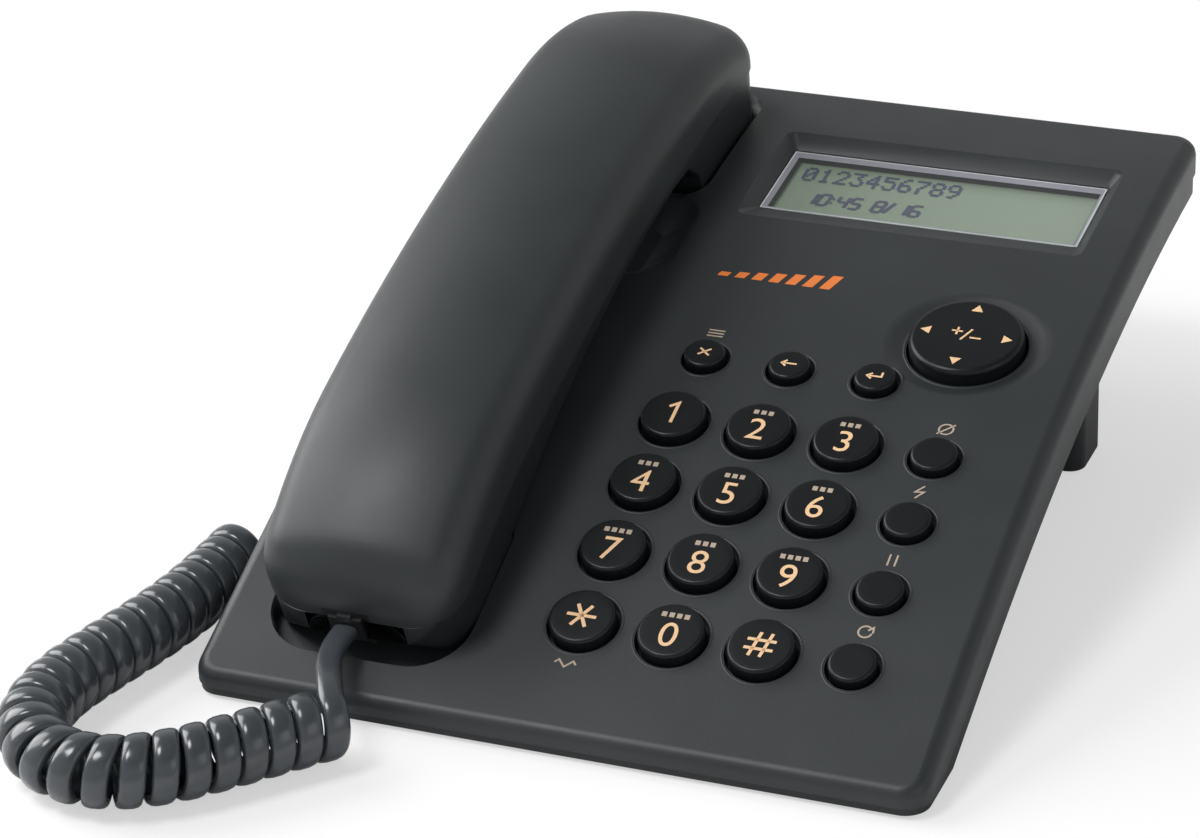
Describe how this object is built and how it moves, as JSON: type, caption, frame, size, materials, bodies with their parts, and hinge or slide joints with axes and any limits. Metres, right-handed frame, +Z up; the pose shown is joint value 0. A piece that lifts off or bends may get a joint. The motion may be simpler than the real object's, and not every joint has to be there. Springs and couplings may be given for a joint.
{
  "type": "corded telephone",
  "caption": "Low arched desk telephone with keypad, round navigator, tilted display and a handset in a side cradle, joined to the base by a curly cord.",
  "frame": {"origin": "on the table under the middle of the telephone, without its cord", "axes": "+X to the user's right, +Y away from the user, +Z up"},
  "size_m": [0.1946, 0.2731, 0.087],
  "materials": {
    "body_plastic": "satin moulded charcoal plastic",
    "lower_plastic": "satin darker charcoal plastic",
    "key_plastic": "near-black keys, slightly glossy",
    "silicone": "silicone rubber",
    "window_clear": "clear acrylic",
    "display_face": "green reflective display",
    "inner_plastic": "black plastic",
    "circuit_board": "green board",
    "steel": "zinc-plated steel",
    "battery_wrap": "shrink wrap",
    "cord_jacket": "glossy flexible jacket",
    "plug_clear": "modular plug"
  },
  "bodies": {
    "root": {"top_cover": "body_plastic", "bottom_case": "lower_plastic", "desk_stand": "lower_plastic", "rubber_feet": "silicone", "case_screws": "steel", "display_window": "window_clear", "display_glass": "display_face", "display_tray": "inner_plastic", "main_board": "circuit_board", "keypad_mat": "silicone", "hook_switch_body": "inner_plastic", "cord_jack": "inner_plastic", "line_jack": "inner_plastic", "batteries": "battery_wrap", "battery_contacts": "steel", "sounder": "inner_plastic", "curly_cord": "cord_jacket", "handset_cord_tail": "cord_jacket", "base_cord_tail": "cord_jacket", "base_plug": "plug_clear"},
    "handset": {"handset_upper_shell": "body_plastic", "handset_lower_shell": "lower_plastic", "handset_jack": "inner_plastic", "earpiece": "inner_plastic", "microphone_boot": "silicone", "microphone": "steel", "handset_weight": "steel", "handset_screws": "steel", "handset_plug": "plug_clear"},
    "hook_plunger": {"hook_plunger": "lower_plastic"},
    "navigator_rocker": {"navigator_rocker": "silicone"},
    "navigator_key": {"navigator_key": "key_plastic"},
    "battery_cover": {"battery_cover": "lower_plastic"},
    "key_1": {"key_1": "key_plastic"},
    "key_2": {"key_2": "key_plastic"},
    "key_3": {"key_3": "key_plastic"},
    "key_4": {"key_4": "key_plastic"},
    "key_5": {"key_5": "key_plastic"},
    "key_6": {"key_6": "key_plastic"},
    "key_7": {"key_7": "key_plastic"},
    "key_8": {"key_8": "key_plastic"},
    "key_9": {"key_9": "key_plastic"},
    "key_star": {"key_star": "key_plastic"},
    "key_0": {"key_0": "key_plastic"},
    "key_hash": {"key_hash": "key_plastic"},
    "mute_key": {"mute_key": "key_plastic"},
    "flash_key": {"flash_key": "key_plastic"},
    "pause_key": {"pause_key": "key_plastic"},
    "redial_key": {"redial_key": "key_plastic"},
    "exit_key": {"exit_key": "key_plastic"},
    "clear_key": {"clear_key": "key_plastic"},
    "enter_key": {"enter_key": "key_plastic"}
  },
  "joints": [
    {"name": "key_1_press", "type": "slide", "parent": "root", "child": "key_1", "axis": [0, 0.2921, -0.9564], "range_m": [0, 0.0015], "stiffness_N_per_m": 300},
    {"name": "key_2_press", "type": "slide", "parent": "root", "child": "key_2", "axis": [0, 0.2921, -0.9564], "range_m": [0, 0.0015], "stiffness_N_per_m": 300},
    {"name": "key_3_press", "type": "slide", "parent": "root", "child": "key_3", "axis": [0, 0.2921, -0.9564], "range_m": [0, 0.0015], "stiffness_N_per_m": 300},
    {"name": "key_4_press", "type": "slide", "parent": "root", "child": "key_4", "axis": [0, 0.3266, -0.9452], "range_m": [0, 0.0015], "stiffness_N_per_m": 300},
    {"name": "key_5_press", "type": "slide", "parent": "root", "child": "key_5", "axis": [0, 0.3266, -0.9452], "range_m": [0, 0.0015], "stiffness_N_per_m": 300},
    {"name": "key_6_press", "type": "slide", "parent": "root", "child": "key_6", "axis": [0, 0.3266, -0.9452], "range_m": [0, 0.0015], "stiffness_N_per_m": 300},
    {"name": "key_7_press", "type": "slide", "parent": "root", "child": "key_7", "axis": [0, 0.3607, -0.9327], "range_m": [0, 0.0015], "stiffness_N_per_m": 300},
    {"name": "key_8_press", "type": "slide", "parent": "root", "child": "key_8", "axis": [0, 0.3607, -0.9327], "range_m": [0, 0.0015], "stiffness_N_per_m": 300},
    {"name": "key_9_press", "type": "slide", "parent": "root", "child": "key_9", "axis": [0, 0.3607, -0.9327], "range_m": [0, 0.0015], "stiffness_N_per_m": 300},
    {"name": "key_star_press", "type": "slide", "parent": "root", "child": "key_star", "axis": [0, 0.3762, -0.9265], "range_m": [0, 0.0015], "stiffness_N_per_m": 300},
    {"name": "key_0_press", "type": "slide", "parent": "root", "child": "key_0", "axis": [0, 0.3762, -0.9265], "range_m": [0, 0.0015], "stiffness_N_per_m": 300},
    {"name": "key_hash_press", "type": "slide", "parent": "root", "child": "key_hash", "axis": [0, 0.3762, -0.9265], "range_m": [0, 0.0015], "stiffness_N_per_m": 300},
    {"name": "mute_key_press", "type": "slide", "parent": "root", "child": "mute_key", "axis": [0, 0.2921, -0.9564], "range_m": [0, 0.0015], "stiffness_N_per_m": 300},
    {"name": "flash_key_press", "type": "slide", "parent": "root", "child": "flash_key", "axis": [0, 0.3266, -0.9452], "range_m": [0, 0.0015], "stiffness_N_per_m": 300},
    {"name": "pause_key_press", "type": "slide", "parent": "root", "child": "pause_key", "axis": [0, 0.3607, -0.9327], "range_m": [0, 0.0015], "stiffness_N_per_m": 300},
    {"name": "redial_key_press", "type": "slide", "parent": "root", "child": "redial_key", "axis": [0, 0.3762, -0.9265], "range_m": [0, 0.0015], "stiffness_N_per_m": 300},
    {"name": "exit_key_press", "type": "slide", "parent": "root", "child": "exit_key", "axis": [0, 0.2551, -0.9669], "range_m": [0, 0.0015], "stiffness_N_per_m": 300},
    {"name": "clear_key_press", "type": "slide", "parent": "root", "child": "clear_key", "axis": [0, 0.2551, -0.9669], "range_m": [0, 0.0015], "stiffness_N_per_m": 300},
    {"name": "enter_key_press", "type": "slide", "parent": "root", "child": "enter_key", "axis": [0, 0.2551, -0.9669], "range_m": [0, 0.0015], "stiffness_N_per_m": 300},
    {"name": "navigator_tip_sideways", "type": "hinge", "parent": "root", "child": "navigator_rocker", "pos_m": [0.0544, 0.01219, 0.04236], "axis": [0, 0.9744, 0.2248], "range_deg": [-2.5, 2.5], "stiffness_Nm_per_rad": 0.2},
    {"name": "navigator_tip_up_down", "type": "hinge", "parent": "navigator_rocker", "child": "navigator_key", "pos_m": [0.0544, 0.01219, 0.04236], "axis": [1, 0, 0], "range_deg": [-2.5, 2.5], "stiffness_Nm_per_rad": 0.2},
    {"name": "handset_lift", "type": "slide", "parent": "root", "child": "handset", "axis": [0, -0.2431, 0.97], "range_m": [0, 0.06]},
    {"name": "hook_plunger_rise", "type": "slide", "parent": "root", "child": "hook_plunger", "axis": [0, -0.1349, 0.9909], "range_m": [0, 0.003]},
    {"name": "battery_cover_lift", "type": "slide", "parent": "root", "child": "battery_cover", "axis": [0, 0.2417, -0.9703], "range_m": [0, 0.012]}
  ],
  "couplings": [
    {"joint": "hook_plunger_rise", "follows": "handset_lift", "ratio": 0.05}
  ]
}
